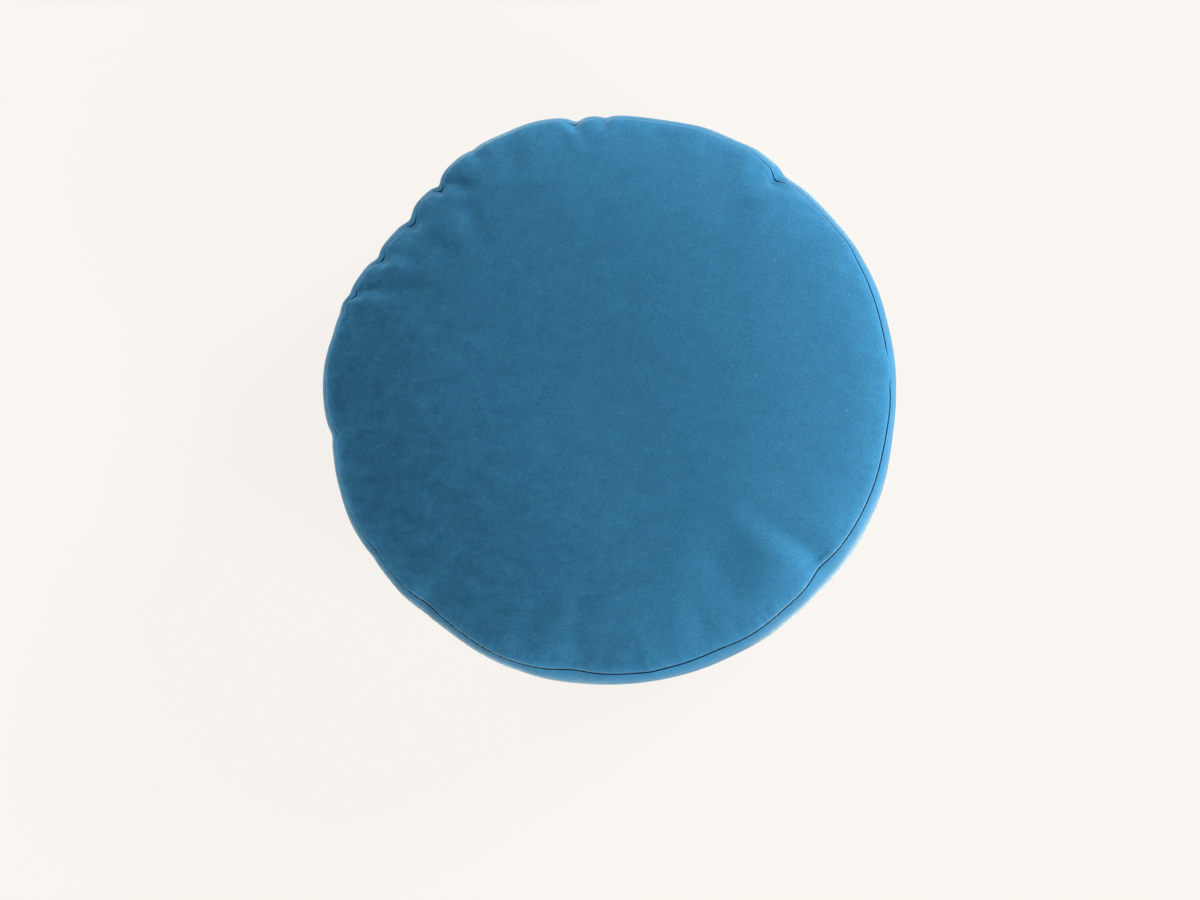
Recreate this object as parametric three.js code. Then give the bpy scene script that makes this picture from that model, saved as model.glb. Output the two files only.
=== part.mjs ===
// A round throw pillow in blue velvet, lying on its back.
// It is a boxed cushion: two round panels, crowned by their filling, with a side band sewn between them.
// Lengths are millimetres, +Z is up, and the origin is on the floor under the middle of the pillow.
// Angles are degrees, anticlockwise from +X as seen from above, and +Y is the top of the front panel.

import * as THREE from 'three';

// Driving dimensions
const OVERALL_DIAMETER = 450; // across the swell of the side band
const BAND_SWELL = 7.5; // how far the band stands out of its two seams
const SEAM_RADIUS = OVERALL_DIAMETER / 2 - BAND_SWELL;
const BACK_SEAM_HEIGHT = 30;
const FRONT_SEAM_HEIGHT = 105;
const OVERALL_HEIGHT = 145;
const REST_RADIUS = 140; // of the round spot that lies flat on the floor
const CLOTH_THICKNESS = 2;
const PIECE_GAP = 0.42; // between the band and the body, measured level, so 0.3 square to the cloth

// The rolled lip of a panel beside its seam
const LIP_RISE = 1.5; // from the seam to the widest point of the lip
const LIP_REACH = 0.5; // how far that point stands out of the seam

// Shapes of the profile, as powers
const CROWN_POWERS = { spread: 2.4, roll: 0.66 };
const BACK_POWERS = { spread: 1.8, roll: 0.8 };
const BAND_POWERS = { spread: 3, roll: 0.75 };

// How the seams' unevenness spreads
const SEAM_EFFECT_START = 0.8; // share of the front panel's radius where it begins
const SEAM_SINK = 0.25; // a seam sinks towards the band by this share of how far it is drawn in
const SHOULDER_POWER = 1.5; // a higher power makes a notch's shoulders narrower
const PULL_REACH = 2.2; // how far a notch is felt over the front panel, in its half widths
const RIDGE_OFFSET = 1.6; // from a crease to the ridge beside it, in crease widths
const CREASE_OPENING = 0.7; // how much rounder a crease is at its inner end, as a share of its width
const CREASE_SPREADING = 0.4; // how much wider it is there
const CREASE_HOLDS = 0.25; // share of its length over which it keeps its depth
const CREASE_FREE_LIP = 0.03; // share of the radius, beside the lip, over which creases set in
const BAND_FOLLOWS_FROM = 0.6; // share of the band's height where it follows a notch in full
const BAND_EDGE_POWER = 4; // a higher power keeps the seam's own notches nearer the band's edge

// Colour of the velvet
const VELVET_BLUE = 0x33709a;

// Fineness of the surface
const COLUMNS = 180; // of points around the pillow, a multiple of three
const CROWN_ROWS = [1, 0.994, 0.982, 0.962, 0.93, 0.885, 0.82, 0.74, 0.63, 0.49, 0.33, 0.16];
const BACK_ROWS = [0, 0.25, 0.48, 0.68, 0.84, 0.94, 0.985, 1];
const BAND_ROWS = [0, 0.05, 0.17, 0.36, 0.64, 0.83, 0.95, 1];
const REST_CORE_RADIUS = 60; // of the large triangle in the middle of the rest spot

// Slow unevenness of the whole side: how far it stands out, and over what half angle
const RIM_SWELLS = [
  { angle: 24, outward: 2.0, halfAngle: 13 },
  { angle: 49.5, outward: -1.6, halfAngle: 2.2 },
  { angle: 58, outward: 3.2, halfAngle: 6 },
  { angle: 70, outward: 2.0, halfAngle: 6 },
  { angle: 80, outward: -0.5, halfAngle: 6 },
  { angle: 106, outward: 3.4, halfAngle: 8 },
  { angle: 119, outward: 2.8, halfAngle: 6 },
  { angle: 130, outward: -2.0, halfAngle: 4 },
  { angle: 142, outward: -6.6, halfAngle: 10.5 },
  { angle: 154, outward: -1.4, halfAngle: 4 },
  { angle: 159, outward: 1.4, halfAngle: 4 },
  { angle: 167, outward: -1.0, halfAngle: 3.5 },
  { angle: 174, outward: 2.6, halfAngle: 9 },
  { angle: 190, outward: -2.4, halfAngle: 6 },
  { angle: 206, outward: 1.2, halfAngle: 5 },
  { angle: 219, outward: -0.6, halfAngle: 4 },
  { angle: 233, outward: -1.6, halfAngle: 7 },
  { angle: 252, outward: 0.4, halfAngle: 4 },
  { angle: 282, outward: -1.0, halfAngle: 16 },
  { angle: 297, outward: -0.9, halfAngle: 6 },
  { angle: 310, outward: -1.6, halfAngle: 7 },
  { angle: 339, outward: 0.4, halfAngle: 8 },
  { angle: 353, outward: -1.5, halfAngle: 8 },
  { angle: 102, outward: -1.4, halfAngle: 75 },
  { angle: 237, outward: -0.9, halfAngle: 6 },
  { angle: 257, outward: 0.8, halfAngle: 7 },
];

// Places where the front seam is drawn in, as a notch with a depth and a half width.
// The upper part of the band follows it by the share called band.
const FRONT_PULLS = [
  { angle: 1, depth: 0.6, halfWidth: 9, band: 0.5 },
  { angle: 28, depth: 0.6, halfWidth: 9, band: 0.5 },
  { angle: 51.8, depth: 5.2, halfWidth: 7, band: 0.2 },
  { angle: 56, depth: 1.2, halfWidth: 9, band: 0.1 },
  { angle: 90.5, depth: 2.0, halfWidth: 6, band: 0.9 },
  { angle: 96.6, depth: 4.0, halfWidth: 7, band: 1.0 },
  { angle: 118.6, depth: 1.8, halfWidth: 7, band: 0.9 },
  { angle: 128.6, depth: 5.0, halfWidth: 6, band: 0.7 },
  { angle: 138, depth: 4.6, halfWidth: 9, band: 0.8 },
  { angle: 148.6, depth: 4.6, halfWidth: 8, band: 0.7 },
  { angle: 158, depth: 4.2, halfWidth: 7, band: 0.3 },
  { angle: 162.5, depth: 1.2, halfWidth: 6, band: 0.9 },
  { angle: 187.6, depth: 2.2, halfWidth: 8, band: 0.9 },
  { angle: 214, depth: 1.4, halfWidth: 8, band: 0.7 },
  { angle: 229, depth: 2.8, halfWidth: 16, band: 0.3 },
  { angle: 263, depth: 3.4, halfWidth: 22, band: 0.1 },
  { angle: 293, depth: 1.6, halfWidth: 24, band: 0.3 },
  { angle: 320.5, depth: 4.4, halfWidth: 18, band: 0.1 },
];

// Wider stretches where the front seam alone lies further in, or further out where depth is negative
const SEAM_DRIFTS = [
  { angle: 357, depth: -3.0, halfWidth: 48, band: 0 },
  { angle: 31, depth: -1.8, halfWidth: 22, band: 0 },
  { angle: 139, depth: 3.0, halfWidth: 46, band: 0 },
  { angle: 247, depth: -1.0, halfWidth: 18, band: 0 },
  { angle: 279, depth: -0.8, halfWidth: 10, band: 0 },
  { angle: 298, depth: -1.2, halfWidth: 30, band: 0 },
  { angle: 325, depth: 1.0, halfWidth: 50, band: 0 },
];

const FRONT_CHANGES = [...FRONT_PULLS, ...SEAM_DRIFTS];

// The notches of the hidden back seam, plain and shallow
const BACK_PULLS = [
  { angle: 15, depth: 1.5, halfWidth: 12, band: 0.5 },
  { angle: 74, depth: 2.0, halfWidth: 10, band: 0.5 },
  { angle: 138, depth: 2.0, halfWidth: 14, band: 0.5 },
  { angle: 199, depth: 1.5, halfWidth: 12, band: 0.5 },
  { angle: 252, depth: 1.8, halfWidth: 10, band: 0.5 },
  { angle: 317, depth: 2.0, halfWidth: 14, band: 0.5 },
];

// Creases that run from the seam over the front panel. Each turns that many degrees off the way to the
// middle, and its width is from its line to its side, at the seam. Its bottom is rounded by a share of that
// width. A ridge of cloth lies beside it, on its left side seen from the seam where ridge is positive.
const FRONT_CREASES = [
  { angle: 4, length: 22, width: 6, depth: 0.5, turn: 0, ridge: 0.5, rounding: 0.5 },
  { angle: 25, length: 40, width: 4, depth: 1.0, turn: -47, ridge: 0.6, rounding: 0.4 },
  { angle: 39, length: 30, width: 4, depth: 1.0, turn: -56, ridge: 0.6, rounding: 0.4 },
  { angle: 50.2, length: 34, width: 5, depth: 1.7, turn: -50, ridge: 0.9, rounding: 0.2 },
  { angle: 90.5, length: 16, width: 4, depth: 0.5, turn: 0, ridge: 0.3, rounding: 0.5 },
  { angle: 96.6, length: 30, width: 4, depth: 0.9, turn: 30, ridge: -0.6, rounding: 0.3 },
  { angle: 118.6, length: 22, width: 5, depth: 0.6, turn: 20, ridge: 0.4, rounding: 0.4 },
  { angle: 127.4, length: 42, width: 5, depth: 1.8, turn: 39, ridge: -0.25, rounding: 0.15 },
  { angle: 137, length: 16, width: 4, depth: 0.5, turn: 20, ridge: -0.4, rounding: 0.4 },
  { angle: 146.4, length: 48, width: 5, depth: 0.8, turn: 9, ridge: -0.5, rounding: 0.4 },
  { angle: 157.2, length: 46, width: 5.5, depth: 2.1, turn: 22, ridge: -0.25, rounding: 0.15 },
  { angle: 163, length: 16, width: 5, depth: 0.5, turn: 0, ridge: 0.3, rounding: 0.5 },
  { angle: 188.5, length: 16, width: 4, depth: 0.7, turn: 0, ridge: -0.4, rounding: 0.3 },
  { angle: 206, length: 18, width: 5, depth: 0.6, turn: 10, ridge: 0.4, rounding: 0.5 },
  { angle: 214, length: 18, width: 5, depth: 0.7, turn: 10, ridge: 0.4, rounding: 0.5 },
  { angle: 228, length: 24, width: 6, depth: 0.9, turn: 8, ridge: 0.3, rounding: 0.5 },
  { angle: 241, length: 20, width: 6, depth: 0.6, turn: 12, ridge: 0.4, rounding: 0.6 },
  { angle: 251, length: 16, width: 5, depth: 0.5, turn: 14, ridge: 0.4, rounding: 0.6 },
  { angle: 264.5, length: 38, width: 9, depth: 1.1, turn: 0, ridge: 0.3, rounding: 0.8 },
  { angle: 300, length: 26, width: 8, depth: 0.4, turn: 0, ridge: 0.4, rounding: 0.8 },
  { angle: 322.6, length: 84, width: 7, depth: 1.7, turn: 6, ridge: 0.35, rounding: 0.15 },
  { angle: 339, length: 50, width: 8, depth: 0.4, turn: 0, ridge: 0.5, rounding: 0.8 },
];

// Soft lumps of the filling under the front panel
const LUMPS = [
  { x: 70, y: 60, height: 1.4, radius: 75 },
  { x: -85, y: 45, height: -1.2, radius: 60 },
  { x: -40, y: -95, height: 1.2, radius: 55 },
  { x: 95, y: -80, height: 1.0, radius: 50 },
  { x: 100, y: -158, height: -1.6, radius: 20 },
  { x: -110, y: 146, height: -0.9, radius: 11 },
  { x: -138, y: 114, height: -0.9, radius: 11 },
  { x: -188, y: 55, height: -1.0, radius: 12 },
  { x: 92, y: 152, height: -0.9, radius: 16 },
  { x: 110, y: 172, height: 0.9, radius: 9 },
  { x: 128, y: 128, height: 1.2, radius: 34 },
];

const radians = THREE.MathUtils.degToRad;

function bell(x) {
  return Math.exp(-x * x);
}

// The angle from one direction to another, between -180 and 180
function angleBetween(from, to) {
  return THREE.MathUtils.euclideanModulo(to - from + 180, 360) - 180;
}

function rimSwell(angle) {
  let outward = 0;
  for (const swell of RIM_SWELLS) {
    outward += swell.outward * bell(angleBetween(swell.angle, angle) / swell.halfAngle);
  }
  return outward;
}

// How far one pull draws a seam in at an angle: a narrow notch with wide shoulders
function notch(pull, angle) {
  const along = (radians(angleBetween(pull.angle, angle)) * SEAM_RADIUS) / pull.halfWidth;
  return pull.depth / Math.pow(1 + along * along, SHOULDER_POWER);
}

function drawnIn(angle, pulls) {
  return pulls.reduce((depth, pull) => depth + notch(pull, angle), 0);
}

// How far the band's outer face follows a seam's notches, at a share of the way to that seam
function bandDrawnIn(angle, pulls, share) {
  const edge = Math.pow(share, BAND_EDGE_POWER);
  const upper = THREE.MathUtils.smoothstep(share, 0, BAND_FOLLOWS_FROM);
  const follow = (pull) => THREE.MathUtils.lerp(pull.band * upper, 1, edge);
  return pulls.reduce((depth, pull) => depth + notch(pull, angle) * follow(pull), 0);
}

// Where the front and back seams run: their distance from the middle and their height
function frontSeam(angle) {
  const depth = drawnIn(angle, FRONT_CHANGES);
  return { radius: SEAM_RADIUS + rimSwell(angle) - depth, height: FRONT_SEAM_HEIGHT - SEAM_SINK * depth };
}

function backSeam(angle) {
  const depth = drawnIn(angle, BACK_PULLS);
  return { radius: SEAM_RADIUS + rimSwell(angle) - depth, height: BACK_SEAM_HEIGHT + SEAM_SINK * depth };
}

// How much a crease lowers the front panel at a point
function creaseDrop(crease, x, y) {
  const seam = frontSeam(crease.angle);
  const outward = radians(crease.angle);
  const inward = radians(crease.angle + 180 + crease.turn);
  const dx = x - seam.radius * Math.cos(outward);
  const dy = y - seam.radius * Math.sin(outward);
  const along = (dx * Math.cos(inward) + dy * Math.sin(inward)) / crease.length;
  if (along > 1) {
    return 0;
  }
  const past = Math.max(along, 0);
  const width = crease.width * (1 + CREASE_SPREADING * past);
  const across = (dy * Math.cos(inward) - dx * Math.sin(inward)) / width;
  const rounding = crease.rounding + CREASE_OPENING * past;
  const trough = Math.exp(rounding - Math.hypot(across, rounding));
  const fade = 1 - THREE.MathUtils.smoothstep(along, CREASE_HOLDS, 1);
  const side = Math.sign(crease.ridge);
  const ridge = Math.abs(crease.ridge) * bell(across - RIDGE_OFFSET * side);
  return crease.depth * fade * (trough - ridge);
}

// How far the front seam's notches draw the panel in, each over its own reach
function pullsOverCrown(angle, share) {
  let depth = 0;
  for (const pull of FRONT_PULLS) {
    const start = 1 - (PULL_REACH * pull.halfWidth) / SEAM_RADIUS;
    depth += notch(pull, angle) * THREE.MathUtils.smoothstep(share, start, 1);
  }
  return depth;
}

// A point of the front panel at a share of the way from the middle to its lip
function crownPoint(angle, share) {
  const nearSeam = THREE.MathUtils.smoothstep(share, SEAM_EFFECT_START, 1);
  const depth = pullsOverCrown(angle, share) + drawnIn(angle, SEAM_DRIFTS) * nearSeam;
  const radius = (SEAM_RADIUS + LIP_REACH) * share + rimSwell(angle) * nearSeam - depth;
  const x = radius * Math.cos(radians(angle));
  const y = radius * Math.sin(radians(angle));
  const lip = FRONT_SEAM_HEIGHT + LIP_RISE - SEAM_SINK * depth;
  const fullness = Math.pow(1 - Math.pow(share, CROWN_POWERS.spread), CROWN_POWERS.roll);
  let height = lip + (OVERALL_HEIGHT - FRONT_SEAM_HEIGHT - LIP_RISE) * fullness;
  const pastLip = THREE.MathUtils.smoothstep(1 - share, 0, CREASE_FREE_LIP);
  for (const crease of FRONT_CREASES) {
    height -= pastLip * creaseDrop(crease, x, y);
  }
  for (const lump of LUMPS) {
    height += lump.height * bell(Math.hypot(x - lump.x, y - lump.y) / lump.radius);
  }
  return new THREE.Vector3(x, y, height);
}

// The back panel between its flat rest spot, at share 0, and its lip, at share 1
function backPoint(angle, share) {
  const seam = backSeam(angle);
  const radius = THREE.MathUtils.lerp(REST_RADIUS, seam.radius + LIP_REACH, share);
  const fullness = Math.pow(1 - Math.pow(share, BACK_POWERS.spread), BACK_POWERS.roll);
  return polar(angle, radius, (seam.height - LIP_RISE) * (1 - fullness));
}

// A point of the band's outer face, set in by some thickness: share 0 is the back seam, 1 the front seam
function bandPoint(angle, share, inset) {
  const rim = SEAM_RADIUS + rimSwell(angle);
  const fullness = Math.pow(1 - Math.pow(Math.abs(2 * share - 1), BAND_POWERS.spread), BAND_POWERS.roll);
  const fromFront = bandDrawnIn(angle, FRONT_CHANGES, share);
  const fromBack = bandDrawnIn(angle, BACK_PULLS, 1 - share);
  const low = backSeam(angle).height + PIECE_GAP;
  const high = frontSeam(angle).height - PIECE_GAP;
  const radius = rim + BAND_SWELL * fullness - fromFront - fromBack - inset;
  return polar(angle, radius, THREE.MathUtils.lerp(low, high, share));
}

function polar(angle, radius, height) {
  return new THREE.Vector3(radius * Math.cos(radians(angle)), radius * Math.sin(radians(angle)), height);
}

// The angles of the columns: evenly spaced, but each front pull has a column at its own angle
function columnAngles() {
  const step = 360 / COLUMNS;
  const angles = Array.from({ length: COLUMNS }, (_, i) => i * step);
  for (const pull of FRONT_PULLS) {
    angles[Math.round(pull.angle / step) % COLUMNS] = pull.angle;
  }
  return angles;
}

// Collects rings of points and the faces between them.
// A ring is a list of point numbers, one for each column, and may name a point more than once.
class RingMesh {
  constructor(angles) {
    this.angles = angles;
    this.points = [];
    this.faces = [];
  }

  addPoint(point) {
    this.points.push(point);
    return this.points.length - 1;
  }

  addRing(pointAt) {
    return this.angles.map((angle) => this.addPoint(pointAt(angle)));
  }

  addFace(a, b, c) {
    if (a !== b && b !== c && c !== a) {
      this.faces.push(a, b, c);
    }
  }

  // Joins each ring to the next, with faces that look to the right of the way the rings go.
  // Mirrored faces are split along their other diagonal, so that they lie flush against faces
  // of rings that go the other way.
  join(rings, mirrored = false) {
    for (let i = 0; i + 1 < rings.length; i += 1) {
      const from = rings[i];
      const to = rings[i + 1];
      for (let k = 0; k < from.length; k += 1) {
        const next = (k + 1) % from.length;
        this.addFace(from[k], from[next], mirrored ? to[k] : to[next]);
        this.addFace(mirrored ? from[next] : from[k], to[next], to[k]);
      }
    }
  }

  geometry() {
    const geometry = new THREE.BufferGeometry().setFromPoints(this.points);
    geometry.setIndex(this.faces);
    geometry.computeVertexNormals();
    return geometry;
  }
}

// The filled body: rest spot, back panel, drawn-in side under the band, and crowned front panel
function bodyGeometry(angles) {
  const mesh = new RingMesh(angles);
  const core = [0, 120, 240].map((angle) => mesh.addPoint(polar(angle, REST_CORE_RADIUS, 0)));
  mesh.addFace(core[0], core[2], core[1]);
  const coreRing = angles.map((_, k) => core[Math.round((3 * k) / angles.length) % 3]);
  const inset = CLOTH_THICKNESS + PIECE_GAP;
  const seatEnd = (seam) => (angle) => polar(angle, seam(angle).radius - inset, seam(angle).height);
  const lipRoot = (seam) => (angle) => polar(angle, seam(angle).radius, seam(angle).height);
  const apex = mesh.addPoint(new THREE.Vector3(0, 0, crownPoint(0, 0).z));
  const seatRows = BAND_ROWS.slice(1, -1);
  mesh.join([
    coreRing,
    ...BACK_ROWS.map((share) => mesh.addRing((angle) => backPoint(angle, share))),
    mesh.addRing(lipRoot(backSeam)),
    mesh.addRing(seatEnd(backSeam)),
    ...seatRows.map((share) => mesh.addRing((angle) => bandPoint(angle, share, inset))),
    mesh.addRing(seatEnd(frontSeam)),
    mesh.addRing(lipRoot(frontSeam)),
    ...CROWN_ROWS.map((share) => mesh.addRing((angle) => crownPoint(angle, share))),
    angles.map(() => apex),
  ]);
  return mesh.geometry();
}

// The side band: a strip of velvet that runs round the body between the two seams
function bandGeometry(angles) {
  const mesh = new RingMesh(angles);
  const outer = BAND_ROWS.map((share) => mesh.addRing((angle) => bandPoint(angle, share, 0)));
  const inner = BAND_ROWS.map((share) => {
    return mesh.addRing((angle) => bandPoint(angle, share, CLOTH_THICKNESS));
  });
  mesh.join(outer);
  mesh.join([outer.at(-1), ...inner.reverse(), outer[0]], true);
  return mesh.geometry();
}

function velvetMesh(name, geometry) {
  const velvet = new THREE.MeshStandardMaterial({ color: VELVET_BLUE, roughness: 0.9, metalness: 0 });
  const mesh = new THREE.Mesh(geometry, velvet);
  mesh.name = name;
  return mesh;
}

const angles = columnAngles();
const pillow = new THREE.Group();
pillow.name = 'round_throw_pillow';
pillow.add(velvetMesh('cushion_body', bodyGeometry(angles)));
pillow.add(velvetMesh('side_band', bandGeometry(angles)));

// The uneven outline is centred, so that the origin is under the middle of the pillow's box
const middle = new THREE.Box3().setFromObject(pillow).getCenter(new THREE.Vector3());
pillow.position.set(-middle.x, -middle.y, 0);

export default pillow;
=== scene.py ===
# A round throw pillow in blue velvet, lying on its back, seen from above.
# It is a boxed cushion: two round panels, crowned by their filling, with a side band sewn between them.
# Blender's lengths are metres. The tables of shapes are in millimetres, and MM turns them into metres.
# Angles are degrees, anticlockwise from +X as seen from above, and +Y is the top of the picture.

import math
from collections import namedtuple

import bpy
import numpy as np
from mathutils import Matrix, Vector
from mathutils.kdtree import KDTree

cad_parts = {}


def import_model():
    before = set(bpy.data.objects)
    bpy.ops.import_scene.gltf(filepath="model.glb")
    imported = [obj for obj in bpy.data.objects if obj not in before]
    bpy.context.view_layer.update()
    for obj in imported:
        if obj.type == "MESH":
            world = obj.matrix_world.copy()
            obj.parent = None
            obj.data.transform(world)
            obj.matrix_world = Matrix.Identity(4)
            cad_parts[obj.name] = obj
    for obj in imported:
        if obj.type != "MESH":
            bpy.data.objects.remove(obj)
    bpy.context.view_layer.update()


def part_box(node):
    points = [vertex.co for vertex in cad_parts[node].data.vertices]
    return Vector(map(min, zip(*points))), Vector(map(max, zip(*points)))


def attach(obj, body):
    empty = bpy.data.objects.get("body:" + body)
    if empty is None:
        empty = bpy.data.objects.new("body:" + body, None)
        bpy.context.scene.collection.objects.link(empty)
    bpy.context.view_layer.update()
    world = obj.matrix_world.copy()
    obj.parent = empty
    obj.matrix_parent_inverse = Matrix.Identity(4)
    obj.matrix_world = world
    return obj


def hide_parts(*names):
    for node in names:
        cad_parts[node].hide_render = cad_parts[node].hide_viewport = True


MM = 0.001

# Driving sizes
OVERALL_DIAMETER = 450
BAND_SWELL = 7.5
SEAM_RADIUS = OVERALL_DIAMETER / 2 - BAND_SWELL
BACK_SEAM_HEIGHT = 30
FRONT_SEAM_HEIGHT = 105
OVERALL_HEIGHT = 145
REST_RADIUS = 140
CLOTH_THICKNESS = 2
PIECE_GAP = 0.35

# The valley that a seam lies in, between a panel's rounded lip and the band's rounded edge:
# distances out of the seam and up from it, that is, away from the band's middle
VALLEY_OPENS_AT = 310  # the angle at which the valley is widest open
OPEN_LIP_REACH = -0.5  # the lip stands back at that angle
CLOSED_LIP_REACH = 1.1  # and hides the valley on the other side of the pillow
LIP_OPENS = 0.22  # how much of that hiding a notch undoes, for each millimetre of its depth
CLOSING_ANGLE = 5  # here the lip hides the valley over a short stretch
CLOSING_HALF_ANGLE = 4
LIP_RISE = 1.5
LIP_CORNER_REACH = 0.2  # past the lip
VALLEY_REACH = 0.1
VALLEY_DEPTH = 1.7
BAND_CORNER_REACH = 0.9
BAND_CORNER_RISE = 0.4
BAND_EDGE_SHARE = 0.02  # share of the band's height that its rolled edge takes

# Shapes of the profile, as powers
CROWN_SPREAD = 2.4
CROWN_ROLL = 0.66
BACK_SPREAD = 1.8
BACK_ROLL = 0.8
BAND_SPREAD = 3
BAND_ROLL = 0.75

# How the seams' unevenness spreads
SEAM_EFFECT_START = 0.8
LIP_EFFECT_START = 0.9
SEAM_SINK = 0.25
SHOULDER_POWER = 1.5
PULL_REACH = 2.2  # how far a notch is felt over the panel, in its half widths
RIDGE_OFFSET = 1.6
CREASE_OPENING = 0.7  # how much rounder a crease is at its inner end, as a share of its width
CREASE_SPREADING = 0.4  # how much wider it is there
CREASE_HOLDS = 0.25  # share of its length over which it keeps its depth
CREASE_FREE_LIP = 0.03  # share of the way in from the lip over which creases set in
BAND_FOLLOWS_FROM = 0.6
BAND_EDGE_POWER = 4

# Fineness of the surface
COLUMNS = 960  # of points round the seams
CLOSEST_COLUMNS = 1.34  # rings nearer the middle have fewer points, at least this far apart
FEWEST_COLUMNS = 15  # a ring with no more points than this isn't halved
FIRST_STEP = 0.5  # between the rings beside a lip
STEP_GROWTH = 1.1
LONGEST_STEP = 2.4
SMALLEST_RING = 5
BAND_OUTER_ROWS = 37
BAND_INNER_ROWS = 9
BAND_EDGE_ROWS = 7
LIP_ROWS = 9
REST_RING_STEP = 12
FEWEST_REST_POINTS = 30

# Slow unevenness of the whole side: how far it stands out, and over what half angle
Swell = namedtuple("Swell", "angle outward half_angle")
RIM_SWELLS = [
    Swell(24, 2.0, 13),
    Swell(49.5, -1.6, 2.2),
    Swell(58, 3.2, 6),
    Swell(70, 2.0, 6),
    Swell(80, -0.5, 6),
    Swell(106, 3.4, 8),
    Swell(119, 2.8, 6),
    Swell(130, -2.0, 4),
    Swell(142, -6.6, 10.5),
    Swell(154, -1.4, 4),
    Swell(159, 1.4, 4),
    Swell(167, -1.0, 3.5),
    Swell(174, 2.6, 9),
    Swell(190, -2.4, 6),
    Swell(206, 1.2, 5),
    Swell(219, -0.6, 4),
    Swell(233, -1.6, 7),
    Swell(252, 0.4, 4),
    Swell(282, -1.0, 16),
    Swell(297, -0.9, 6),
    Swell(310, -1.6, 7),
    Swell(339, 0.4, 8),
    Swell(353, -1.5, 8),
    Swell(102, -1.4, 75),
    Swell(237, -0.9, 6),
    Swell(257, 0.8, 7),
]

# Places where a seam is drawn in, as a notch with a depth and a half width.
# The band's outer face follows it by the share called band.
Pull = namedtuple("Pull", "angle depth half_width band")
FRONT_PULLS = [
    Pull(1, 0.6, 9, 0.5),
    Pull(28, 0.6, 9, 0.5),
    Pull(51.8, 5.2, 7, 0.2),
    Pull(56, 1.2, 9, 0.1),
    Pull(90.5, 2.0, 6, 0.9),
    Pull(96.6, 4.0, 7, 1.0),
    Pull(118.6, 1.8, 7, 0.9),
    Pull(128.6, 5.0, 6, 0.7),
    Pull(138, 4.6, 9, 0.8),
    Pull(148.6, 4.6, 8, 0.7),
    Pull(158, 4.2, 7, 0.3),
    Pull(162.5, 1.2, 6, 0.9),
    Pull(187.6, 2.2, 8, 0.9),
    Pull(214, 1.4, 8, 0.7),
    Pull(229, 2.8, 16, 0.3),
    Pull(263, 3.4, 22, 0.1),
    Pull(293, 1.6, 24, 0.3),
    Pull(320.5, 4.4, 18, 0.1),
]
# Wider stretches where the front seam alone lies further in, or further out where depth is negative
SEAM_DRIFTS = [
    Pull(357, -3.0, 48, 0),
    Pull(31, -1.8, 22, 0),
    Pull(139, 3.0, 46, 0),
    Pull(247, -1.0, 18, 0),
    Pull(279, -0.8, 10, 0),
    Pull(298, -1.2, 30, 0),
    Pull(325, 1.0, 50, 0),
]
BACK_PULLS = [
    Pull(15, 1.5, 12, 0.5),
    Pull(74, 2.0, 10, 0.5),
    Pull(138, 2.0, 14, 0.5),
    Pull(199, 1.5, 12, 0.5),
    Pull(252, 1.8, 10, 0.5),
    Pull(317, 2.0, 14, 0.5),
]

# Creases that run from a seam over its panel. Each turns that many degrees off the way to the middle,
# and its width is from its line to its side, at the seam. Its bottom is rounded by a share of that width.
# A ridge of cloth lies beside it, on its left side seen from the seam where ridge is positive.
Crease = namedtuple("Crease", "angle length width depth turn ridge rounding")
FRONT_CREASES = [
    Crease(4, 22, 6, 0.5, 0, 0.5, 0.5),
    Crease(25, 40, 4, 0.6, -47, 0.6, 0.4),
    Crease(39, 30, 4, 1.0, -56, 0.6, 0.4),
    Crease(50.2, 42, 7.5, 2.6, -50, 0.9, 0.2),
    Crease(90.5, 16, 4, 0.5, 0, 0.3, 0.5),
    Crease(96.6, 30, 4, 0.9, 30, -0.6, 0.3),
    Crease(118.6, 22, 5, 0.6, 20, 0.4, 0.4),
    Crease(127.4, 42, 5, 2.3, 39, -0.25, 0.15),
    Crease(137, 20, 4, 0.9, 20, -0.4, 0.3),
    Crease(146.4, 48, 5, 0.9, 9, -0.5, 0.4),
    Crease(157.2, 46, 4.6, 2.4, 22, -0.25, 0.15),
    Crease(163, 16, 5, 0.5, 0, 0.3, 0.5),
    Crease(188.5, 16, 4, 0.7, 0, -0.4, 0.3),
    Crease(206, 18, 5, 0.6, 10, 0.4, 0.5),
    Crease(214, 18, 5, 0.7, 10, 0.4, 0.5),
    Crease(228, 24, 6, 0.9, 8, 0.3, 0.5),
    Crease(241, 20, 6, 0.6, 12, 0.4, 0.6),
    Crease(251, 16, 5, 0.5, 14, 0.4, 0.6),
    Crease(264.5, 38, 9, 1.1, 0, 0.3, 0.8),
    Crease(300, 26, 8, 0.4, 0, 0.4, 0.8),
    Crease(322.6, 84, 8, 2.9, 6, 0.3, 0.15),
    Crease(339, 50, 8, 0.4, 0, 0.5, 0.8),
]
BACK_CREASES = [
    Crease(15, 30, 6, 0.9, 0, 0.3, 0.3),
    Crease(74, 36, 7, 1.3, 10, -0.3, 0.3),
    Crease(138, 44, 8, 1.6, -8, 0.3, 0.3),
    Crease(199, 30, 6, 0.9, 6, -0.3, 0.3),
    Crease(252, 36, 7, 1.3, -12, 0.3, 0.3),
    Crease(317, 44, 8, 1.6, 0, -0.3, 0.3),
]

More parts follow.
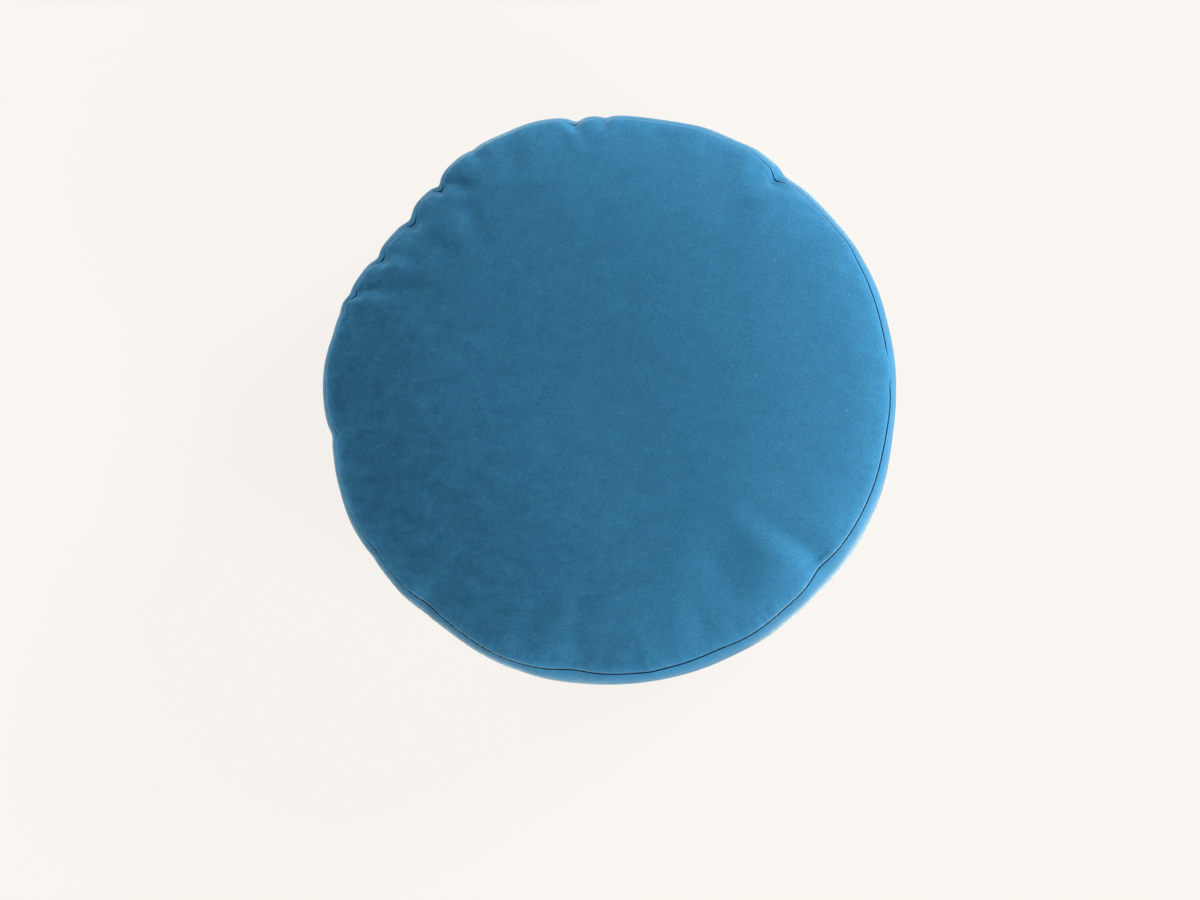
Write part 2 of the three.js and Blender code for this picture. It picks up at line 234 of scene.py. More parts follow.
# Soft lumps of the filling under the front panel
Lump = namedtuple("Lump", "x y height radius")
LUMPS = [
    Lump(70, 60, 1.4, 75),
    Lump(-85, 45, -1.2, 60),
    Lump(-40, -95, 1.2, 55),
    Lump(95, -80, 1.0, 50),
    Lump(90, -146, -2.4, 26),
    Lump(128, -124, 1.3, 22),
    Lump(-110, 146, -0.9, 11),
    Lump(-138, 114, -0.9, 11),
    Lump(-188, 55, -1.0, 12),
    Lump(92, 152, -0.9, 16),
    Lump(110, 172, 0.9, 9),
    Lump(128, 128, 1.2, 34),
]

# Small puckers that the stitching leaves along a seam: waves round the pillow, and their heights
Ripple = namedtuple("Ripple", "waves height phase")
SEAM_RIPPLES = [
    Ripple(61, 0.16, 0.4),
    Ripple(97, 0.14, 2.1),
    Ripple(148, 0.12, 4.4),
    Ripple(203, 0.09, 1.3),
]
RIPPLE_REACH = 9  # how far they run into the panels

# The camera, which sees the pillow's middle at this pixel. CAMERA_DISTANCE and MIDDLE_HEIGHT are metres.
PICTURE_WIDTH = 1200
PICTURE_HEIGHT = 900
FOCAL_PIXELS = 3299
MIDDLE_PIXEL_X = 609
MIDDLE_PIXEL_Y = 400
CAMERA_DISTANCE = 2.6
CAMERA_TILT = 7
CAMERA_AZIMUTH = -50
MIDDLE_HEIGHT = 0.067
SENSOR_WIDTH = 36

# The cloth simulation that gives the cover its small wrinkles
SIM_VOXEL = 5
SIM_STEPS = 20
SIM_PRESSURE = 4
SIM_STIFFNESS = 15
SIM_SHEAR_STIFFNESS = 5
SIM_BENDING = 0.5
SIM_EXTRA = 0.01  # share by which the cover is larger than its filling
SIM_MASS = 0.3
SIM_QUALITY = 6
HELD_MARGIN = 3  # the side is held this far past the seams
HELD_RADIUS = 200  # and outside this distance from the middle
HELD_HEIGHT = 1.5  # the bottom is held below this height
FINE_ROUNDS = 3  # rounds of evening out that keep the wrinkles
COARSE_ROUNDS = 16  # rounds that leave only the slow swelling
WRINKLE_SHARE = 0.6  # share of the simulated wrinkles that the piece gets
WRINKLE_CAP = 0.5  # the most that they move a point
WRINKLES_START = 70  # distance from the middle at which they set in
WRINKLES_FULL = 150
SMOOTH_SEAM = 3  # this near the seam there are none
WRINKLY_SEAM = 12  # and from here inwards they fade no more
NEIGHBOURS = 8  # simulated points that each of the piece's points follows

# Light
Sun = namedtuple("Sun", "name azimuth elevation spread strength")
SUNS = [
    Sun("upper_right_light", 38, 12, 30, 7.3),
    Sun("lower_right_light", 326, 12, 30, 4.9),
    Sun("left_light", 165, 12, 40, 1.6),
    Sun("low_left_light", 130, 3, 20, 2.6),
    Sun("low_front_light", 252, 3, 20, 2.5),
]
ROOM_LIGHT = 0.02

# The floor, its size in metres
FLOOR_COLOUR = (0.956, 0.921, 0.880)
FLOOR_REACH = 6
FLOOR_GLOW = 0.92  # share of the floor's look that doesn't depend on the light, so shadows stay faint

# The velvet's colours, as linear light, and its sheen
VELVET = (0.026, 0.138, 0.258)
GREENER_VELVET = (0.034, 0.152, 0.225)
LINT = (0.09, 0.25, 0.39)
SHEEN_TINT = (0.95, 1.0, 0.72)
SHEEN_WEIGHT = 0.38
SHEEN_ROUGHNESS = 0.3
VELVET_ROUGHNESS = 0.9
VELVET_SPECULAR = 0.05

# Noises on the velvet, each with its scale for places in metres, its detail and its roughness
PATCHES = (80, 6, 0.7)
STREAKS = (50, 4, 0.66)
STREAK_STRETCH = (1.0, 1.7, 1.0)
BRUSHING = (14, 3, 0.55)
GREENING = (160, 4, 0.7)
PILE = (600, 3, 0.7)
SPECKS = (420, 1, 0.5)
NAP = (700, 3, 0.6)
THREADS = (1, 1, 0.5)  # its scale comes from the pitch
THREAD_PITCH = 1.5
THREAD_LENGTH = 14  # in pitches

# How strongly they show: for a span, the noise's low and high end and what each becomes
BRUSHING_SPAN = (0.3, 0.7, 0.975, 1.025)
PILE_SPAN = (0.3, 0.7, 0.82, 1.18)
GREENING_SPAN = (0.5, 0.7, 0, 0.6)
SPECKS_SPAN = (0.745, 0.79, 0, 0.55)
MOTTLING_GAIN = 0.75
THREAD_GAIN = 0.24
NAP_STRENGTH = 0.2
NAP_DEPTH = 0.3

# The pile is least crushed on the side that lies at this azimuth, and most on the other side
CRUSH_AZIMUTH = 15
CRUSHED_FROM = 40  # distance from the middle towards that azimuth at which it starts to grow
CRUSHED_TO = -210  # and at which it is full
LEAST_CRUSHED = 0.3


def bell(x):
    """1 at 0, falling off smoothly to both sides."""
    return np.exp(-x * x)


def smoothstep(x, low, high):
    """Rises smoothly from 0 at low to 1 at high."""
    share = np.clip((x - low) / (high - low), 0, 1)
    return share * share * (3 - 2 * share)


def angle_between(start, end):
    """The angle from one direction to another, between -180 and 180."""
    return (end - start + 180) % 360 - 180


def mix(low, high, share):
    """The value at a share of the way from low to high."""
    return low + (high - low) * share


def polar(angle, radius, height):
    """Points given by their angle, distance from the middle and height."""
    turn = np.radians(angle)
    return np.stack([radius * np.cos(turn), radius * np.sin(turn), height + 0 * turn], axis=-1)


def rim_swell(angle):
    """How far the whole side stands out."""
    return sum(s.outward * bell(angle_between(s.angle, angle) / s.half_angle) for s in RIM_SWELLS)


def notch(pull, angle):
    """How far a pull draws a seam in: a narrow notch with wide shoulders."""
    along = np.radians(angle_between(pull.angle, angle)) * SEAM_RADIUS / pull.half_width
    return pull.depth / (1 + along * along) ** SHOULDER_POWER


def drawn_in(angle, pulls):
    """How far some pulls together draw a seam in."""
    return sum(notch(pull, angle) for pull in pulls)


def band_drawn_in(angle, pulls, share):
    """How far the band's outer face follows a seam's notches, at a share of the way to that seam."""
    edge = share**BAND_EDGE_POWER
    upper = smoothstep(share, 0, BAND_FOLLOWS_FROM)
    return sum(notch(pull, angle) * mix(pull.band * upper, 1, edge) for pull in pulls)


def ripples(angle):
    """Small puckers along a seam, as heights."""
    turn = np.radians(angle)
    return sum(r.height * np.sin(r.waves * turn + r.phase) for r in SEAM_RIPPLES)


def front_seam(angle):
    """The front seam's distance from the middle, and its height."""
    depth = drawn_in(angle, FRONT_PULLS + SEAM_DRIFTS)
    return SEAM_RADIUS + rim_swell(angle) - depth, FRONT_SEAM_HEIGHT - SEAM_SINK * depth


def back_seam(angle):
    """The back seam's distance from the middle, and its height."""
    depth = drawn_in(angle, BACK_PULLS)
    return SEAM_RADIUS + rim_swell(angle) - depth, BACK_SEAM_HEIGHT + SEAM_SINK * depth


def lip_reach(angle):
    """How far a panel's lip stands out of its seam. Notches in the front seam open the valley."""
    away = (1 - np.cos(np.radians(angle - VALLEY_OPENS_AT))) / 2
    away = np.maximum(away, bell(angle_between(CLOSING_ANGLE, angle) / CLOSING_HALF_ANGLE))
    open_share = np.clip(LIP_OPENS * drawn_in(angle, FRONT_PULLS), 0, 1)
    return mix(OPEN_LIP_REACH, CLOSED_LIP_REACH, away * (1 - open_share))


def crease_drop(crease, seam, x, y):
    """How far a crease sinks a panel at points x, y."""
    outward = math.radians(crease.angle)
    inward = math.radians(crease.angle + 180 + crease.turn)
    radius = seam(crease.angle)[0]
    dx = x - radius * math.cos(outward)
    dy = y - radius * math.sin(outward)
    along = (dx * math.cos(inward) + dy * math.sin(inward)) / crease.length
    width = crease.width * (1 + CREASE_SPREADING * np.clip(along, 0, 1))
    across = (dy * math.cos(inward) - dx * math.sin(inward)) / width
    rounding = crease.rounding + CREASE_OPENING * np.clip(along, 0, 1)
    trough = np.exp(rounding - np.hypot(across, rounding))
    fade = 1 - smoothstep(along, CREASE_HOLDS, 1)
    ridge = abs(crease.ridge) * bell(across - RIDGE_OFFSET * np.sign(crease.ridge))
    return crease.depth * fade * (trough - ridge)


def pulls_over_crown(angle, share):
    """How far the front seam's notches draw the panel in, each over its own reach."""
    moved = 0
    for pull in FRONT_PULLS:
        start = 1 - PULL_REACH * pull.half_width / SEAM_RADIUS
        moved = moved + notch(pull, angle) * smoothstep(share, start, 1)
    return moved


def crown_point(angle, share):
    """Points of the front panel at a share of the way from the middle to its lip."""
    near_seam = smoothstep(share, SEAM_EFFECT_START, 1)
    depth = pulls_over_crown(angle, share) + drawn_in(angle, SEAM_DRIFTS) * near_seam
    reach = lip_reach(angle) * smoothstep(share, LIP_EFFECT_START, 1)
    radius = SEAM_RADIUS * share + reach + rim_swell(angle) * near_seam - depth
    points = polar(angle, radius, 0)
    x, y = points[:, 0], points[:, 1]
    lip = FRONT_SEAM_HEIGHT + LIP_RISE - SEAM_SINK * depth
    fullness = (1 - share**CROWN_SPREAD) ** CROWN_ROLL
    height = lip + (OVERALL_HEIGHT - FRONT_SEAM_HEIGHT - LIP_RISE) * fullness
    past_lip = smoothstep(1 - share, 0, CREASE_FREE_LIP)
    for crease in FRONT_CREASES:
        height = height - past_lip * crease_drop(crease, front_seam, x, y)
    for lump in LUMPS:
        height = height + lump.height * bell(np.hypot(x - lump.x, y - lump.y) / lump.radius)
    from_lip = (1 - share) * SEAM_RADIUS / RIPPLE_REACH
    points[:, 2] = height + ripples(angle) * bell(from_lip)
    return points


def back_point(angle, share):
    """Points of the back panel between its flat rest spot, at share 0, and its lip, at share 1."""
    radius_here, height_here = back_seam(angle)
    radius = mix(REST_RADIUS, radius_here + lip_reach(angle), share)
    fullness = (1 - share**BACK_SPREAD) ** BACK_ROLL
    points = polar(angle, radius, (height_here - LIP_RISE) * (1 - fullness))
    near_lip = smoothstep(share, 0, 1)
    for crease in BACK_CREASES:
        points[:, 2] += near_lip * crease_drop(crease, back_seam, points[:, 0], points[:, 1])
    from_lip = (1 - share) * (SEAM_RADIUS - REST_RADIUS) / RIPPLE_REACH
    points[:, 2] -= ripples(angle) * bell(from_lip)
    return points


def band_point(angle, share, inset):
    """Points of the band's outer face, or of a face inside it: share 0 is the back seam, 1 the front."""
    fullness = (1 - abs(2 * share - 1) ** BAND_SPREAD) ** BAND_ROLL
    from_front = band_drawn_in(angle, FRONT_PULLS + SEAM_DRIFTS, share)
    from_back = band_drawn_in(angle, BACK_PULLS, 1 - share)
    low = back_seam(angle)[1] + PIECE_GAP + inset
    high = front_seam(angle)[1] - PIECE_GAP - inset
    swell = (BAND_SWELL - inset) * fullness
    radius = SEAM_RADIUS + rim_swell(angle) + swell - from_front - from_back
    return polar(angle, radius, mix(low, high, share))


def bend(start, corner, end, share):
    """A point on the curve that leaves start towards corner and reaches end."""
    return start * (1 - share) ** 2 + 2 * corner * share * (1 - share) + end * share**2


def lip_point(angle, seam, side, share):
    """Points of a panel's lip, from the valley's foot at share 0 to the panel's edge at share 1."""
    radius, height = seam(angle)
    reach = lip_reach(angle)
    outward = bend(VALLEY_REACH, reach + LIP_CORNER_REACH, reach, share)
    rise = bend(-VALLEY_DEPTH, 0, LIP_RISE, share)
    return polar(angle, radius + outward, height + side * (rise + share * ripples(angle)))


def band_edge_point(angle, seam, side, share):
    """Points of the band's edge, from the valley's foot at share 0 to its outer face at share 1."""
    radius, height = seam(angle)
    face = band_point(angle, 1 - BAND_EDGE_SHARE if side > 0 else BAND_EDGE_SHARE, 0)
    face_radius = np.hypot(face[:, 0], face[:, 1])
    reach = bend(radius + VALLEY_REACH + PIECE_GAP, radius + BAND_CORNER_REACH, face_radius, share)
    foot = height - side * VALLEY_DEPTH
    corner = height + side * BAND_CORNER_RISE
    return polar(angle, reach, bend(foot, corner, face[:, 2], share))


class RingMesh:
    """Collects rings of points, which run anticlockwise, and the faces between them."""

    def __init__(self):
        self.rings = []
        self.faces = []
        self.count = 0

    def add(self, points):
        """Adds a ring and returns its point numbers."""
        self.rings.append(points)
        self.count += len(points)
        return list(range(self.count - len(points), self.count))

    def join(self, a, b):
        """Joins two rings of points. The second has as many, half or twice as many, or only one."""
        if len(b) == 1:
            self.faces += [(a[k - 1], a[k], b[0]) for k in range(len(a))]
        elif len(a) == 1:
            self.faces += [(a[0], b[k], b[k - 1]) for k in range(len(b))]
        elif len(a) == len(b):
            self.faces += [(a[k - 1], a[k], b[k], b[k - 1]) for k in range(len(a))]
        elif len(a) == 2 * len(b):
            for k in range(len(b)):
                before, middle, after = a[2 * k - 2], a[2 * k - 1], a[2 * k]
                self.faces.append((before, middle, b[k - 1]))
                self.faces.append((middle, after, b[k]))
                self.faces.append((middle, b[k], b[k - 1]))
        else:
            for k in range(len(a)):
                before, middle, after = b[2 * k - 2], b[2 * k - 1], b[2 * k]
                self.faces.append((a[k - 1], middle, before))
                self.faces.append((a[k - 1], a[k], middle))
                self.faces.append((a[k], after, middle))

    def join_all(self, rings):
        for a, b in zip(rings, rings[1:]):
            self.join(a, b)

    def piece(self, name, offset):
        """The Blender object, in metres, moved by an offset in millimetres."""
        points = (np.concatenate(self.rings) + offset) * MM
        mesh = bpy.data.meshes.new(name)
        mesh.from_pydata(points.tolist(), [], self.faces)
        mesh.validate()
        mesh.shade_smooth()
        made = bpy.data.objects.new(name, mesh)
        bpy.context.collection.objects.link(made)
        return made


def columns_at(radius):
    """The angles of a ring's points. Rings near the middle have fewer of them."""
    count = COLUMNS
    while 2 * math.pi * radius < count * CLOSEST_COLUMNS and count > FEWEST_COLUMNS:
        count //= 2
    return np.arange(count) * 360 / count


def radii_inwards(start, end):
    """Distances from the middle of rings that lie close beside a lip and wider apart further in."""
    radii = []
    radius, step = start, FIRST_STEP
    while radius > end:
        radii.append(radius)
        radius -= step
        step = min(step * STEP_GROWTH, LONGEST_STEP)
    return radii


def band_shares(rows):
    """Shares of the band's height, closer together towards its two edges."""
    turn = np.linspace(0, math.pi, rows)
    return mix(BAND_EDGE_SHARE, 1 - BAND_EDGE_SHARE, (1 - np.cos(turn)) / 2)


def rest_spot_rings():
    """Rings of the flat rest spot, from its edge inwards. Each has half as many points as the last."""
    rings = []
    count = len(columns_at(REST_RADIUS))
    for radius in np.arange(REST_RADIUS, REST_RING_STEP, -REST_RING_STEP):
        rings.append(polar(np.arange(count) * 360 / count, radius, 0))
        count = count // 2 if count > FEWEST_REST_POINTS else count
    return rings


def cushion_mesh():
    """The filled cushion: rest spot, back panel, drawn-in side under the band, and crowned front panel."""
    mesh = RingMesh()
    full = np.arange(COLUMNS) * 360 / COLUMNS
    inset = CLOTH_THICKNESS + PIECE_GAP
    rings = [mesh.add(np.zeros((1, 3)))]
    rings += [mesh.add(points) for points in reversed(rest_spot_rings())]
    span = SEAM_RADIUS - REST_RADIUS
    for radius in reversed(radii_inwards(SEAM_RADIUS, REST_RADIUS + LONGEST_STEP / 2)):
        rings.append(mesh.add(back_point(columns_at(radius), (radius - REST_RADIUS) / span)))
    lip_shares = np.linspace(0, 1, LIP_ROWS)
    for share in reversed(lip_shares[:-1]):
        rings.append(mesh.add(lip_point(full, back_seam, -1, share)))
    for share in band_shares(BAND_INNER_ROWS):
        rings.append(mesh.add(band_point(full, share, inset)))
    for share in lip_shares[:-1]:
        rings.append(mesh.add(lip_point(full, front_seam, 1, share)))
    for radius in radii_inwards(SEAM_RADIUS, SMALLEST_RING):
        rings.append(mesh.add(crown_point(columns_at(radius), radius / SEAM_RADIUS)))
    rings.append(mesh.add(crown_point(np.zeros(1), 0)))
    mesh.join_all(rings)
    return mesh


def band_mesh():
    """The side band: a closed strip of cloth with its edges rolled into the two seams."""
    mesh = RingMesh()
    full = np.arange(COLUMNS) * 360 / COLUMNS
    edge_shares = np.linspace(0, 1, BAND_EDGE_ROWS)
    rings = []
    for share in edge_shares[:-1]:
        rings.append(mesh.add(band_edge_point(full, back_seam, -1, share)))
    for share in band_shares(BAND_OUTER_ROWS):
        rings.append(mesh.add(band_point(full, share, 0)))
    for share in reversed(edge_shares[:-1]):
        rings.append(mesh.add(band_edge_point(full, front_seam, 1, share)))
    for share in reversed(band_shares(BAND_INNER_ROWS)):
        rings.append(mesh.add(band_point(full, share, CLOTH_THICKNESS)))
    mesh.join_all([*rings, rings[0]])
    return mesh


def mesh_points(mesh):
    """The places of a mesh's points, in millimetres."""
    places = np.empty(len(mesh.vertices) * 3)
    mesh.vertices.foreach_get("co", places)
    return places.reshape(-1, 3) / MM


def evened(values, edges, rounds):
    """Values at a mesh's points, averaged with their neighbours' again and again."""
    count = np.ones(len(values))
    np.add.at(count, edges[:, 0], 1)
    np.add.at(count, edges[:, 1], 1)
    for _ in range(rounds):
        total = values.copy()
        np.add.at(total, edges[:, 0], values[edges[:, 1]])
        np.add.at(total, edges[:, 1], values[edges[:, 0]])
        values = total / count[:, None]
    return values


def add_cloth(piece, held):
    """Blender's cloth, blown up by its filling, with some points held."""
    pins = piece.vertex_groups.new(name="held")
    pins.add([int(k) for k in np.nonzero(held)[0]], 1.0, "ADD")
    cloth = piece.modifiers.new("cover", "CLOTH")
    cloth.collision_settings.use_collision = False
    settings = cloth.settings
    settings.quality = SIM_QUALITY
    settings.mass = SIM_MASS
    settings.tension_stiffness = SIM_STIFFNESS
    settings.compression_stiffness = SIM_STIFFNESS
    settings.shear_stiffness = SIM_SHEAR_STIFFNESS
    settings.bending_stiffness = SIM_BENDING
    settings.use_pressure = True
    settings.uniform_pressure_force = SIM_PRESSURE
    settings.vertex_group_mass = "held"
    settings.shrink_min = -SIM_EXTRA
    settings.effector_weights.gravity = 0


def simulated_wrinkles(pillow, offset):
    """Places on a coarse copy of the cushion, and how far the simulated cover wrinkles there."""
    copy = pillow.copy()
    copy.data = pillow.data.copy()
    bpy.context.collection.objects.link(copy)
    remesh = copy.modifiers.new("remesh", "REMESH")
    remesh.mode = "VOXEL"
    remesh.voxel_size = SIM_VOXEL * MM
    bpy.context.view_layer.objects.active = copy
    bpy.ops.object.modifier_apply(modifier="remesh")
    start = mesh_points(copy.data)
    radius = np.hypot(start[:, 0] - offset[0], start[:, 1] - offset[1])
    height = start[:, 2]
    beside_band = (height > BACK_SEAM_HEIGHT - HELD_MARGIN) & (height < FRONT_SEAM_HEIGHT + HELD_MARGIN)
    side = beside_band & (radius > HELD_RADIUS)
    add_cloth(copy, side | (height < HELD_HEIGHT))
    for step in range(1, SIM_STEPS + 1):
        bpy.context.scene.frame_set(step)
    settled = copy.evaluated_get(bpy.context.evaluated_depsgraph_get())
    moved = mesh_points(settled.data) - start
    edges = np.empty(len(copy.data.edges) * 2, dtype=int)
    copy.data.edges.foreach_get("vertices", edges)
    edges = edges.reshape(-1, 2)
    wrinkles = evened(moved, edges, FINE_ROUNDS) - evened(moved, edges, COARSE_ROUNDS)
    bpy.context.scene.frame_set(1)
    mesh = copy.data
    bpy.data.objects.remove(copy)
    bpy.data.meshes.remove(mesh)
    return start, wrinkles


def wrinkle(pillow, offset):
    """Gives the front panel the simulation's small wrinkles, fading out at the seam and the middle."""
    start, wrinkles = simulated_wrinkles(pillow, offset)
    tree = KDTree(len(start))
    for k, place in enumerate(start):
        tree.insert(place, k)
    tree.balance()
    points = mesh_points(pillow.data)
    x, y = points[:, 0] - offset[0], points[:, 1] - offset[1]
    radius = np.hypot(x, y)
    from_seam = front_seam(np.degrees(np.arctan2(y, x)))[0] - radius
    share = smoothstep(radius, WRINKLES_START, WRINKLES_FULL)
    share *= smoothstep(from_seam, SMOOTH_SEAM, WRINKLY_SEAM)
    share[points[:, 2] < FRONT_SEAM_HEIGHT] = 0
    for k in np.nonzero(share > 0)[0]:
        near = tree.find_n(points[k], NEIGHBOURS)
        weights = bell(np.array([distance for _, _, distance in near]) / SIM_VOXEL)
        move = weights @ wrinkles[[index for _, index, _ in near]] / weights.sum() * WRINKLE_SHARE
        length = np.linalg.norm(move)
        if length > WRINKLE_CAP:
            move *= WRINKLE_CAP / length
        points[k] += move * share[k]
    pillow.data.vertices.foreach_set("co", (points * MM).ravel())
    pillow.data.update()


def make_camera():
    """Looks down on the pillow, a little off the vertical."""
    tilt, azimuth = math.radians(CAMERA_TILT), math.radians(CAMERA_AZIMUTH)
    middle = Vector((0, 0, MIDDLE_HEIGHT))
    toward = Vector(
        (math.sin(tilt) * math.cos(azimuth), math.sin(tilt) * math.sin(azimuth), math.cos(tilt))
    )
    place = middle + toward * CAMERA_DISTANCE
    up = (Vector((0, 1, 0)) - toward * toward.y).normalized()
    right = up.cross(toward)
    per_pixel = CAMERA_DISTANCE / FOCAL_PIXELS
    aim = middle - right * (MIDDLE_PIXEL_X - PICTURE_WIDTH / 2) * per_pixel
    aim -= up * (PICTURE_HEIGHT / 2 - MIDDLE_PIXEL_Y) * per_pixel
    back = (place - aim).normalized()
    up = (Vector((0, 1, 0)) - back * back.y).normalized()
    right = up.cross(back)
    data = bpy.data.cameras.new("camera")
    data.sensor_width = SENSOR_WIDTH
    data.lens = FOCAL_PIXELS * SENSOR_WIDTH / PICTURE_WIDTH
    camera = bpy.data.objects.new("camera", data)
    camera.matrix_world = Matrix.Translation(place) @ Matrix((right, up, back)).transposed().to_4x4()
    bpy.context.collection.objects.link(camera)
    bpy.context.scene.camera = camera


class Nodes:
    """A material's or world's nodes, made and joined by short calls."""

    def __init__(self, owner):
        owner.use_nodes = True
        self.tree = owner.node_tree
        self.tree.nodes.clear()

    def make(self, kind, **settings):
        node = self.tree.nodes.new(kind)
        for name, value in settings.items():
            setattr(node, name, value)
        return node

    def feed(self, source, node, socket):
        """Sets an input of a node, from another node's output or as a plain value."""
        target = node.inputs[socket]
        if isinstance(source, bpy.types.NodeSocket):
            self.tree.links.new(source, target)
        else:
            target.default_value = source

    def noise(self, place, scale, detail, roughness, stretch=None):
        if stretch:
            place = self.stretched(place, stretch)
        node = self.make("ShaderNodeTexNoise")
        self.feed(place, node, "Vector")
        self.feed(scale, node, "Scale")
        self.feed(detail, node, "Detail")
        self.feed(roughness, node, "Roughness")
        return node.outputs["Fac"]

    def stretched(self, place, scale):
        node = self.make("ShaderNodeMapping")
        self.feed(place, node, "Vector")
        self.feed(scale, node, "Scale")
        return node.outputs["Vector"]

    def span(self, value, low, high, new_low, new_high):
        """A value carried from one range to another, and kept inside it."""
        node = self.make("ShaderNodeMapRange")
        self.feed(value, node, "Value")
        self.feed(low, node, "From Min")
        self.feed(high, node, "From Max")
        self.feed(new_low, node, "To Min")
        self.feed(new_high, node, "To Max")
        return node.outputs["Result"]

    def math(self, operation, a, b):
        node = self.make("ShaderNodeMath", operation=operation)
        self.feed(a, node, 0)
        self.feed(b, node, 1)
        return node.outputs["Value"]

    def about_one(self, value, middle, strength, gain):
        """A noise turned into a factor near 1, which strays further where strength is higher."""
        away = self.math("SUBTRACT", value, middle)
        return self.math("ADD", self.math("MULTIPLY", self.math("MULTIPLY", away, strength), gain), 1)

    def mixed(self, a, b, share):
        """Colour a with a share of colour b over it."""
        node = self.make("ShaderNodeMix", data_type="RGBA")
        self.feed(share, node, 0)
        self.feed(a, node, 6)
        self.feed((*b, 1), node, 7)
        return node.outputs[2]

    def scaled(self, colour, factor):
        node = self.make("ShaderNodeVectorMath", operation="SCALE")
        self.feed(colour, node, "Vector")
        self.feed(factor, node, "Scale")
        return node.outputs["Vector"]


def velvet_material():
    """Short-pile velvet: crushed patches, faint threads, fine mottling, lint and a soft sheen."""
    material = bpy.data.materials.new("blue_velvet")
    nodes = Nodes(material)
    place = nodes.make("ShaderNodeTexCoord").outputs["Object"]
    shader = nodes.make("ShaderNodeBsdfPrincipled")
    out = nodes.make("ShaderNodeOutputMaterial")
    nodes.feed(shader.outputs["BSDF"], out, "Surface")

    crushed = crushed_share(nodes, place)
    patches = nodes.noise(place, *PATCHES)
    streaks = nodes.noise(place, *STREAKS, STREAK_STRETCH)
    brushed = nodes.span(nodes.noise(place, *BRUSHING), *BRUSHING_SPAN)
    mottled = nodes.about_one(nodes.math("ADD", patches, streaks), 1.0, crushed, MOTTLING_GAIN)
    threads = nodes.about_one(thread_noise(nodes, place), 0.5, crushed, THREAD_GAIN)
    pile = nodes.span(nodes.noise(place, *PILE), *PILE_SPAN)
    shade = nodes.math("MULTIPLY", nodes.math("MULTIPLY", brushed, mottled), threads)
    shade = nodes.math("MULTIPLY", shade, pile)
    lint = nodes.span(nodes.noise(place, *SPECKS), *SPECKS_SPAN)
    greener = nodes.span(nodes.noise(place, *GREENING), *GREENING_SPAN)
    greener = nodes.math("MULTIPLY", greener, crushed)
    colour = nodes.scaled(nodes.mixed((*VELVET, 1), GREENER_VELVET, greener), shade)
    nodes.feed(nodes.mixed(colour, LINT, lint), shader, "Base Color")
    nodes.feed(VELVET_ROUGHNESS, shader, "Roughness")
    nodes.feed(VELVET_SPECULAR, shader, "Specular IOR Level")
    nodes.feed(SHEEN_WEIGHT, shader, "Sheen Weight")
    nodes.feed(SHEEN_ROUGHNESS, shader, "Sheen Roughness")
    nodes.feed((*SHEEN_TINT, 1), shader, "Sheen Tint")

    bump = nodes.make("ShaderNodeBump")
    nodes.feed(nodes.math("ADD", nodes.noise(place, *NAP), thread_noise(nodes, place)), bump, "Height")
    nodes.feed(NAP_STRENGTH, bump, "Strength")
    nodes.feed(NAP_DEPTH * MM, bump, "Distance")
    nodes.feed(bump.outputs["Normal"], shader, "Normal")
    return material


def crushed_share(nodes, place):
    """How crushed the pile is, at most 1: it grows towards one side of the pillow."""
    turn = math.radians(CRUSH_AZIMUTH)
    along = nodes.make("ShaderNodeVectorMath", operation="DOT_PRODUCT")
    nodes.feed(place, along, 0)
    nodes.feed((math.cos(turn), math.sin(turn), 0), along, 1)
    return nodes.span(along.outputs["Value"], CRUSHED_FROM * MM, CRUSHED_TO * MM, LEAST_CRUSHED, 1)


def thread_noise(nodes, place):
    """Faint rows of the ground cloth, along and across."""
    fine = 1 / (THREAD_PITCH * MM)
    long = fine / THREAD_LENGTH
    along = nodes.noise(place, *THREADS, (fine, long, long))
    across = nodes.noise(place, *THREADS, (long, fine, long))
    return nodes.math("MULTIPLY", nodes.math("ADD", along, across), 0.5)


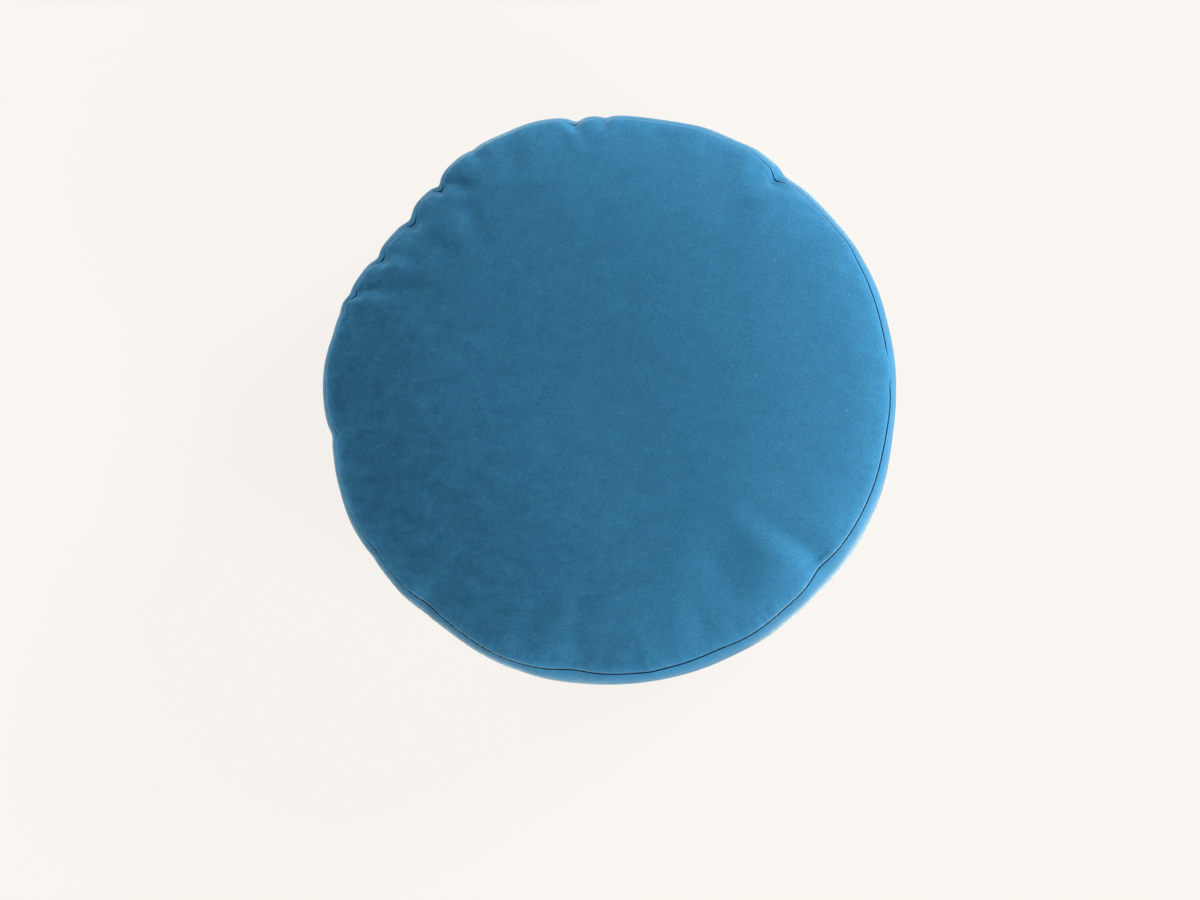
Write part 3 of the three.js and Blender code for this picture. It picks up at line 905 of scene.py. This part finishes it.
def floor_material():
    """A pale floor that mostly glows by itself, so that shadows on it stay faint."""
    material = bpy.data.materials.new("pale_floor")
    nodes = Nodes(material)
    matt = nodes.make("ShaderNodeBsdfDiffuse")
    nodes.feed((*FLOOR_COLOUR, 1), matt, "Color")
    glow = nodes.make("ShaderNodeEmission")
    nodes.feed((*FLOOR_COLOUR, 1), glow, "Color")
    both = nodes.make("ShaderNodeMixShader")
    nodes.feed(FLOOR_GLOW, both, "Fac")
    nodes.feed(matt.outputs["BSDF"], both, 1)
    nodes.feed(glow.outputs["Emission"], both, 2)
    out = nodes.make("ShaderNodeOutputMaterial")
    nodes.feed(both.outputs["Shader"], out, "Surface")
    return material


def make_floor():
    mesh = bpy.data.meshes.new("floor")
    reach = FLOOR_REACH
    corners = [(-reach, -reach, 0), (reach, -reach, 0), (reach, reach, 0), (-reach, reach, 0)]
    mesh.from_pydata(corners, [], [(0, 1, 2, 3)])
    floor = bpy.data.objects.new("floor", mesh)
    bpy.context.collection.objects.link(floor)
    mesh.materials.append(floor_material())


def make_lights():
    """Broad, low suns, and a little light from all round."""
    for sun in SUNS:
        data = bpy.data.lights.new(sun.name, "SUN")
        data.energy = sun.strength
        data.angle = math.radians(sun.spread)
        light = bpy.data.objects.new(sun.name, data)
        turn, lift = math.radians(sun.azimuth), math.radians(sun.elevation)
        toward = Vector(
            (math.cos(turn) * math.cos(lift), math.sin(turn) * math.cos(lift), math.sin(lift))
        )
        light.rotation_euler = toward.to_track_quat("Z", "Y").to_euler()
        bpy.context.collection.objects.link(light)
    world = bpy.data.worlds.new("studio")
    bpy.context.scene.world = world
    nodes = Nodes(world)
    background = nodes.make("ShaderNodeBackground")
    nodes.feed((*FLOOR_COLOUR, 1), background, "Color")
    nodes.feed(ROOM_LIGHT, background, "Strength")
    out = nodes.make("ShaderNodeOutputWorld")
    nodes.feed(background.outputs["Background"], out, "Surface")
    bpy.context.scene.view_settings.view_transform = "Standard"


def main():
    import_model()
    make_camera()
    make_floor()
    make_lights()
    velvet = velvet_material()
    band = band_mesh()
    outline = np.concatenate(band.rings)
    box_low, box_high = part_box("side_band")
    middle = (np.array(box_low) + np.array(box_high)) / 2 / MM
    offset = middle - (outline.min(axis=0) + outline.max(axis=0)) / 2
    offset[2] = 0
    pillow = cushion_mesh().piece("velvet_cushion", offset)
    wrinkle(pillow, offset)
    side = band.piece("velvet_side_band", offset)
    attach(pillow, "root")
    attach(side, "root")
    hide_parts("cushion_body")
    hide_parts("side_band")
    for piece in (pillow, side):
        piece.data.materials.append(velvet)


main()
